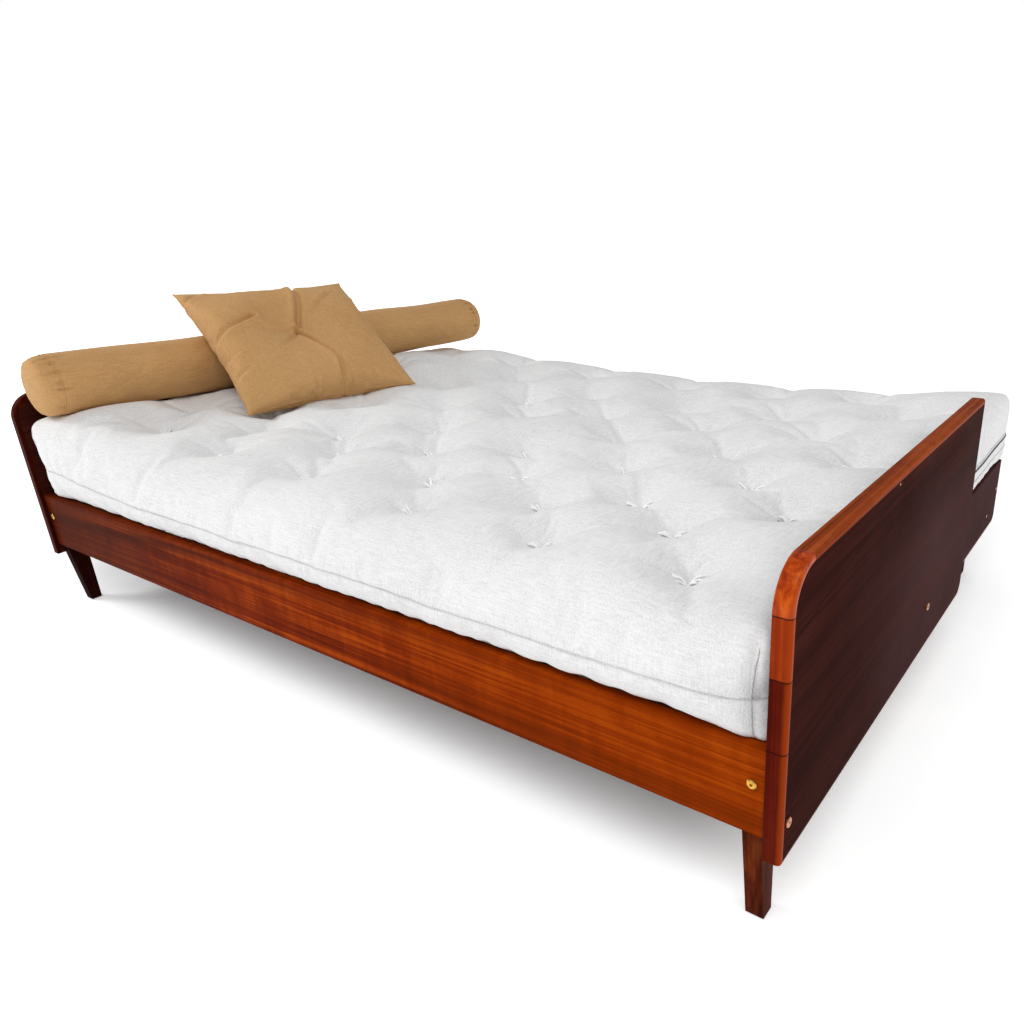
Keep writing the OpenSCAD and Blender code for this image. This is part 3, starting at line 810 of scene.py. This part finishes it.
def make_bolster():
    """The tube with its two flat ends, and the welts where they are sewn on."""
    lo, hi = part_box("bolster")
    middle = (BOLSTER_FRONT + hi.y - 0.004) / 2
    axis = np.array([(lo.x + hi.x) / 2, middle, (lo.z + hi.z) / 2 + 0.002])
    r, half, cap = (hi.x - lo.x) / 2 - 0.0045, hi.y - 0.004 - middle, 0.038
    around, rings, cap_rings, squareness = 84, 112, 11, 3.4
    profile = []  # the rings' radius and place along the bolster
    for s in np.linspace(0.10, 1, cap_rings + 1)[:-1]:
        profile.append((r * s, -half + cap * (1 - (1 - s**squareness) ** (1 / squareness))))
    profile += [(r, y) for y in np.linspace(-half + cap, half - cap, rings)]
    profile += [(rad, -y) for rad, y in reversed(profile[:cap_rings])]
    verts, faces = [], []
    for rad, y in profile:
        for q in range(around):
            a = 2 * math.pi * q / around
            verts.append(axis + (rad * math.sin(a), y, rad * math.cos(a)))
    m = len(profile)
    for g in range(m - 1):
        for q in range(around):
            a, b = g * around, (g + 1) * around
            faces.append([a + q, a + (q + 1) % around, b + (q + 1) % around, b + q])
    for g, pole in ((0, -half), (m - 1, half)):
        verts.append(axis + (0, pole, 0))
        for q in range(around):
            a, b = g * around + q, g * around + (q + 1) % around
            faces.append([len(verts) - 1, b, a] if g == 0 else [len(verts) - 1, a, b])
    start = np.array(verts)
    o = new_mesh("bolster_cover", start, faces)
    angle = np.arange(around) * 2 * math.pi / around
    low = np.abs(angle - math.pi) < 0.35
    first, last = cap_rings, m - 1 - cap_rings  # the rings at the end seams
    pins = {g * around + q: 1.0 for g in range(first + 1, last) for q in np.where(low)[0].tolist()}
    seam = {g * around + q: 1.0 for g in (first, last) for q in range(around)}
    set_co(o, capped(start, simulate(o, 14, pins, start, 3.0, 0.018, seam, -0.002, 0.1), 0.004))
    apply_subdivision(o)
    # pleats drawn in by the end seams, and slight lumps in the filling
    co = get_co(o)
    turn = np.arctan2(co[:, 0] - axis[0], co[:, 2] - axis[2])
    radial = np.stack([np.sin(turn), 0 * turn, np.cos(turn)], 1)
    from_seam = np.abs(np.abs(co[:, 1] - middle) - (half - cap))
    end = np.sign(co[:, 1] - middle)
    phase = turn * 14 + 2.2 * np.sin(turn * 5 + end) + 1.5 * np.sin(turn * 11 - end)
    reach = 0.014 + 0.016 * (0.5 + 0.5 * np.sin(turn * 9 + 2 * end)) ** 2
    pucker = (0.5 + 0.5 * np.cos(phase)) ** 2 * np.exp(-((from_seam / reach) ** 2)) * 0.0065
    groove = 0.0026 * np.exp(-((from_seam / 0.0035) ** 2))
    lumps = 0.0010 * np.sin(co[:, 1] * 9 + 1.3 * np.sin(turn))
    lumps += 0.0006 * np.sin(co[:, 1] * 23 + turn * 2)
    inner = np.hypot(co[:, 0] - axis[0], co[:, 2] - axis[2]) / r
    co += radial * (lumps * np.clip(inner, 0, 1) - pucker - groove)[:, None]
    # it rests on the mattress and against the board, and its front end stands a little higher
    soft = 0.004
    above = co[:, 2] - (lo.z + BOLSTER_SINK) - soft
    co[:, 2] += np.where(above < 0, soft * (np.exp(np.minimum(above, 0) / soft) - 1) - above, 0)
    co[:, 0] = np.maximum(co[:, 0], lo.x - 0.0010)
    co[:, 2] += bolster_lift(co[:, 1])
    set_co(o, co)
    rings_at = []
    for y in (middle - (half - cap), middle + (half - cap)):
        z = axis[2] + bolster_lift(y)
        turns = np.linspace(0, 2 * math.pi, 97)
        ring = [(axis[0] + r * math.sin(q), y, z + r * math.cos(q)) for q in turns]
        ring[-1] = ring[0]
        rings_at.append(ring)
    o.data.materials.append(TAN)
    tree = tree_of(o)
    lines, normals = zip(*(on_surface(tree, ring, 0.0004) for ring in rings_at))
    welt = tube("bolster_seams", lines, 0.0014, 6, 1.0, normals)
    welt.data.materials.append(TAN)
    return o, welt


bolster, bolster_seams = make_bolster()

# ---------------------------------------------------------------- pillow

PILLOW_TILT, PILLOW_YAW = math.radians(35), math.radians(-12)
PILLOW_W = 0.462
HALF_W = PILLOW_W / 2
# Folds drawn in by the middle stitch and the edge seam: width and depth in mm, then points
# (down the slope, towards the rear) in mm from the pillow's middle
FOLDS = [
    (7, 7, [(-232, 70), (-120, 52), (-20, 8)]), (6, 2, [(-125, 144), (-30, 30)]),
    (6, 6, [(0, 0), (77, 29), (134, 48), (192, 34), (236, 30)]),
    (7, 6, [(0, -232), (-30, -170), (-60, -100)]), (6, 5, [(-178, -232), (-200, -180)]),
    (5, 5, [(236, -46), (180, -40)]), (5, 5, [(236, 54), (176, 60)]),
    (5, 5, [(236, 130), (184, 122)]), (5, 5, [(236, 205), (186, 180)]),
    (6, 4, [(4, -4), (60, -70)]), (6, 4, [(0, -6), (-10, -90)]),
    (6, 5, [(130, -232), (118, -182)]), (5, 4, [(60, -232), (64, -190)]),
    (5, 4, [(-100, 232), (-90, 186)]), (5, 4, [(60, 232), (52, 180)]),
    (5, 4, [(-232, -80), (-186, -74)]),
]


def fold_pillow(co):
    """Presses the folds into both faces. A fold with two points fades out along its way, and a
    longer one is weakest at its middle."""
    u, v = co[:, 0] * 1000, co[:, 1] * 1000
    side = np.sign(co[:, 2])
    dip = np.zeros(len(co))
    for width, deep, line in FOLDS:
        # for each point: its distance from the fold, the share of the way along, and its side
        best, along, signed = np.full(len(co), 1e9), np.zeros(len(co)), np.zeros(len(co))
        count = len(line) - 1
        for m, (a, b) in enumerate(zip(line, line[1:])):
            d = np.array(b, float) - a
            t = np.clip(((u - a[0]) * d[0] + (v - a[1]) * d[1]) / (d @ d), 0, 1)
            off_u, off_v = u - a[0] - t * d[0], v - a[1] - t * d[1]
            r = np.hypot(off_u, off_v)
            hit = r < best
            best[hit], along[hit] = r[hit], ((m + t) / count)[hit]
            signed[hit] = (np.sign(off_u * d[1] - off_v * d[0]) * r)[hit]
        fading, waisted = 1 - 0.75 * smoothstep(along), 0.55 + 0.45 * np.abs(along * 2 - 1)
        groove = np.exp(-((best / width) ** 2))
        ridge = 0.45 * np.exp(-(((signed - 2.2 * width) / (1.5 * width)) ** 2))
        dip += 2.3 * (fading if count == 1 else waisted) * deep * (groove - ridge)
    edge = np.clip(1 - np.maximum(np.abs(u), np.abs(v)) / (HALF_W * 1000), 0, 1)
    near_edge = smoothstep(np.abs(co[:, 2]) / 0.010) * (0.25 + 0.75 * smoothstep(edge / 0.12))
    co[:, 2] -= side * dip / 1000 * near_edge
    return co


def droop(co):
    """Draws in the upper edge between its corners, and lets it sag behind the bolster."""
    u, v = co[:, 0] / HALF_W, co[:, 1] / HALF_W
    amount = np.interp(v, [-1, -0.5, 0, 0.5, 1], [0, 0.75, 1, 0.95, 0.45])
    amount *= smoothstep((-u - 0.25) / 0.75)
    co[:, 0] += 0.018 * amount
    co[:, 2] -= 0.017 * amount
    return co


def make_pillow():
    """The pillow flat about its middle, with +X down its slope, and the line of its edge seam."""
    n = (84, 84, 2)
    pts, faces = box_lattice(n)
    side = pts[:, 2] - 1
    flat = np.stack([(pts[:, 0] / n[0] - 0.5) * PILLOW_W, (pts[:, 1] / n[1] - 0.5) * PILLOW_W,
                     side * 0.0012], 1)
    u, v = flat[:, 0] / HALF_W, flat[:, 1] / HALF_W
    lens = (1 - u**2).clip(0) ** 0.55 * (1 - v**2).clip(0) ** 0.55
    start = flat.copy()
    start[:, 2] += side * 0.046 * lens
    r = np.hypot(flat[:, 0], flat[:, 1])
    start[:, 2] -= side * 0.022 * np.exp(-((r / 0.040) ** 1.5))
    pins = {int(m): 1.0 for m in np.where((r < 0.005) & (side != 0))[0]}
    o = new_mesh("pillow_cover", start, faces)
    half_way = (flat + start) / 2
    blown = simulate(o, 16, pins, half_way, 3.0, 0.02, bending=0.2)
    co = droop(capped(start, blown, 0.024))
    set_co(o, co)
    place = {tuple(p): m for m, p in enumerate(pts.astype(int))}
    hem = [co[place[(a, b, 1)]] for a, b in border(n)]
    apply_subdivision(o)
    set_co(o, fold_pillow(get_co(o)))
    return o, hem


pillow_lo, pillow_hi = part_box("pillow")
centre = (pillow_lo + pillow_hi) / 2 + Vector((0.012, 0.032, -0.007))
turn = Matrix.Rotation(PILLOW_YAW, 3, "Z") @ Matrix.Rotation(PILLOW_TILT, 3, "Y")
TAN_PILLOW = cloth("tan_linen_pillow", *TAN_COLOURS, turned=turn, **TAN_WEAVE)
pillow, hem = make_pillow()
pillow.data.materials.append(TAN_PILLOW)
pillow_seam = tube("pillow_seam", [hem], 0.0016, 6)
pillow_seam.data.materials.append(TAN_PILLOW)
stub = tree_of(pillow).ray_cast(UPWARD, DOWNWARD)[0] + 0.002 * UPWARD
tie_ends = [strand(stub, a, 0.013, 0.004) for a in (2.6, 3.3, 0.4)]
pillow_tie = tube("pillow_tie", tie_ends, 0.0012, 5)
pillow_tie.data.materials.append(THREAD)
for piece in (pillow, pillow_seam, pillow_tie):
    set_co(piece, get_co(piece) @ np.array(turn).T + np.array(centre))

# ---------------------------------------------------------------- bodies, and the CAD's soft pieces hidden

for piece in (mattress, seams, zipper, ties, shade_slits, bolster, bolster_seams):
    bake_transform(piece)
for piece in (pillow, pillow_seam, pillow_tie):
    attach(piece, BED)
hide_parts("mattress")
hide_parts("bolster")
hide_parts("pillow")

# ---------------------------------------------------------------- floor, light and camera

reach = 30
corners = [(-reach, -reach, 0), (reach, -reach, 0), (reach, reach, 0), (-reach, reach, 0)]
floor = new_mesh("floor", corners, [(0, 1, 2, 3)], False)
pale = Nodes("floor_pale")
paint = pale.ramp(pale.noise((3, 3, 3)), (0.3, rgb(244, 245, 246)), (0.7, rgb(249, 250, 250)))
pale.set(Base_Color=paint, Roughness=0.75, Emission_Color=(1, 1, 1, 1), Specular_IOR_Level=0.1)
# the floor glows a little, a painted light that is stronger far off and left out under the bed,
# which paints a shadow there
under_x = pale.maths("ABSOLUTE", pale.maths("ADD", pale.axis(ALONG_X), 0.20))
under_y = pale.maths("ABSOLUTE", pale.maths("ADD", pale.axis(ALONG_Y), 0.05))
under = pale.times(pale.inverse(pale.band(under_x, 0.92, 1.20)),
                   pale.inverse(pale.band(under_y, 0.42, 0.71)))
spread = pale.add("ShaderNodeVectorMath", operation="LENGTH")
pale.link(pale.where, spread.inputs[0])
far = pale.times(pale.band(spread.outputs["Value"], 1.5, 4.5), 0.5)
pale.set(Emission_Strength=pale.maths("MULTIPLY_ADD", pale.inverse(under), 0.40, far))
floor.data.materials.append(pale.material)

# a plain white background, which lights the bed at less than half its brightness
scene = bpy.context.scene
scene.view_settings.view_transform = "Standard"
world = bpy.data.worlds.new("studio")
world.use_nodes = True
nodes, links = world.node_tree.nodes, world.node_tree.links
backdrop = nodes["Background"]
backdrop.inputs["Color"].default_value = (1, 1, 1, 1)
seen = nodes.new("ShaderNodeMapRange")
links.new(nodes.new("ShaderNodeLightPath").outputs["Is Camera Ray"], seen.inputs["Value"])
seen.inputs["To Min"].default_value, seen.inputs["To Max"].default_value = 0.46, 1.0
links.new(seen.outputs[0], backdrop.inputs["Strength"])
scene.world = world


def softbox(name, place, target, width, height, power):
    light = bpy.data.lights.new(name, "AREA")
    light.shape = "RECTANGLE"
    light.size, light.size_y, light.energy = width, height, power
    o = bpy.data.objects.new(name, light)
    scene.collection.objects.link(o)
    o.location = place
    o.rotation_euler = (Vector(target) - Vector(place)).to_track_quat("-Z", "Y").to_euler()


softbox("key", (-4.6, -2.6, 3.2), (0.1, 0, 0.3), 1.8, 1.8, 125)
softbox("front", (1.5, -2.2, 4.0), (0.3, 0.0, 0.3), 2.6, 1.6, 66)
softbox("window", (3.4, 0.4, 2.0), (0.9, -0.3, 0.4), 0.8, 1.4, 14)

camera = bpy.data.cameras.new("camera")
camera.lens, camera.sensor_width = 28.52, 36
camera.shift_x, camera.shift_y = -0.0957, 0.0273
camera.clip_start, camera.clip_end = 0.05, 200
camera_object = bpy.data.objects.new("camera", camera)
facing = Matrix((
    (0.82099, 0.56969, -0.03774),  # its right
    (-0.18850, 0.33285, 0.92395),  # its top
    (0.53892, -0.75144, 0.38066),  # behind it
)).transposed()
camera_object.matrix_world = Matrix.Translation((1.2814, -1.4678, 0.8967)) @ facing.to_4x4()
scene.collection.objects.link(camera_object)
scene.camera = camera_object
